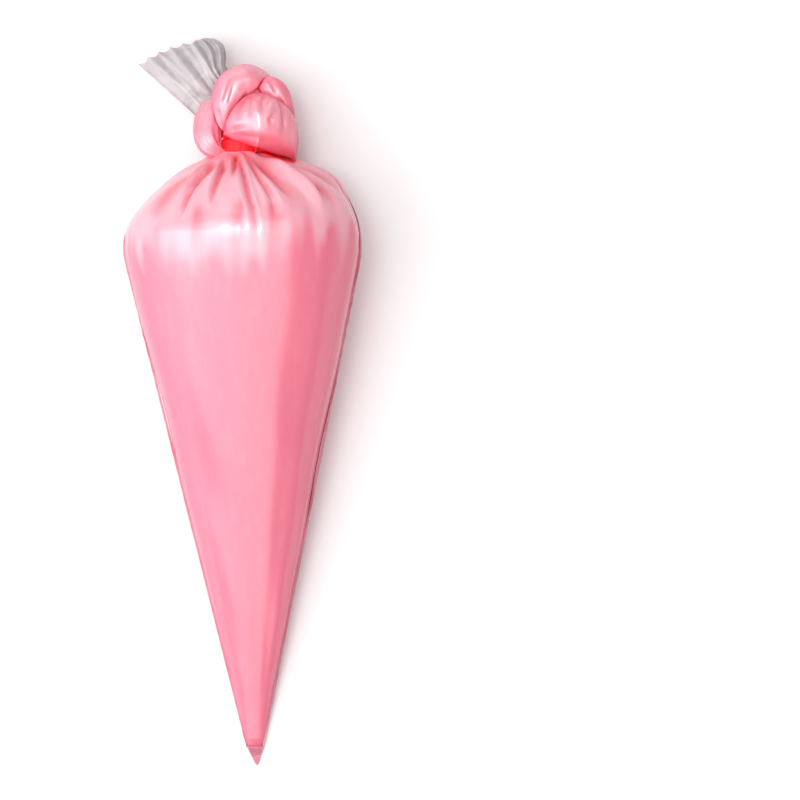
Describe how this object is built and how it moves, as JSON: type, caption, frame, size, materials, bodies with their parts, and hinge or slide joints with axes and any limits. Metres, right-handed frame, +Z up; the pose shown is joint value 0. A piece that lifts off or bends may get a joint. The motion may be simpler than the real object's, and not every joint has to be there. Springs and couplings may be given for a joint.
{
  "type": "piping bag",
  "caption": "Filled film piping bag lying flat: straight cone to a sealed tip, round shoulder, tied off in an overhand knot with a pleated film tail.",
  "frame": {"origin": "on the table under the middle of the bag's widest place, where the bag's flat underside rests", "axes": "+Z up from the table, +Y along the bag from the sealed tip to the knot, +X to the right seen from above with the knot away from the viewer"},
  "size_m": [0.0904, 0.2745, 0.066],
  "materials": {
    "film_over_icing": "clear glossy film wet with pink icing behind it",
    "weld_film": "clear film, two layers welded flat",
    "icing": "smooth soft pink icing",
    "clear_film": "clear unprinted film, creased, faintly milky"
  },
  "bodies": {
    "bag": {"front_film": "film_over_icing", "back_film": "film_over_icing", "left_side_weld": "weld_film", "right_side_weld": "weld_film", "tip_weld": "weld_film", "icing": "icing"},
    "neck": {"neck_film": "film_over_icing"},
    "knot": {"knot_wrap_film": "film_over_icing", "knot_top_film": "film_over_icing", "knot_front_film": "film_over_icing", "knot_icing": "icing"},
    "tail": {"tail_root_film": "clear_film", "tail_front_film": "clear_film", "tail_back_film": "clear_film"}
  },
  "joints": [
    {"name": "neck_lift", "type": "hinge", "parent": "bag", "child": "neck", "pos_m": [-0.0013, 0.0355, 0.017], "axis": [1, 0, 0], "range_deg": [0, 20]},
    {"name": "knot_swing", "type": "hinge", "parent": "neck", "child": "knot", "pos_m": [-0.0013, 0.0355, 0.017], "axis": [0, 0, 1], "range_deg": [-10, 10]},
    {"name": "tail_bend", "type": "hinge", "parent": "knot", "child": "tail", "pos_m": [-0.0145, 0.054, 0.019], "axis": [0.7071, 0.7071, 0], "range_deg": [-25, 30]}
  ]
}
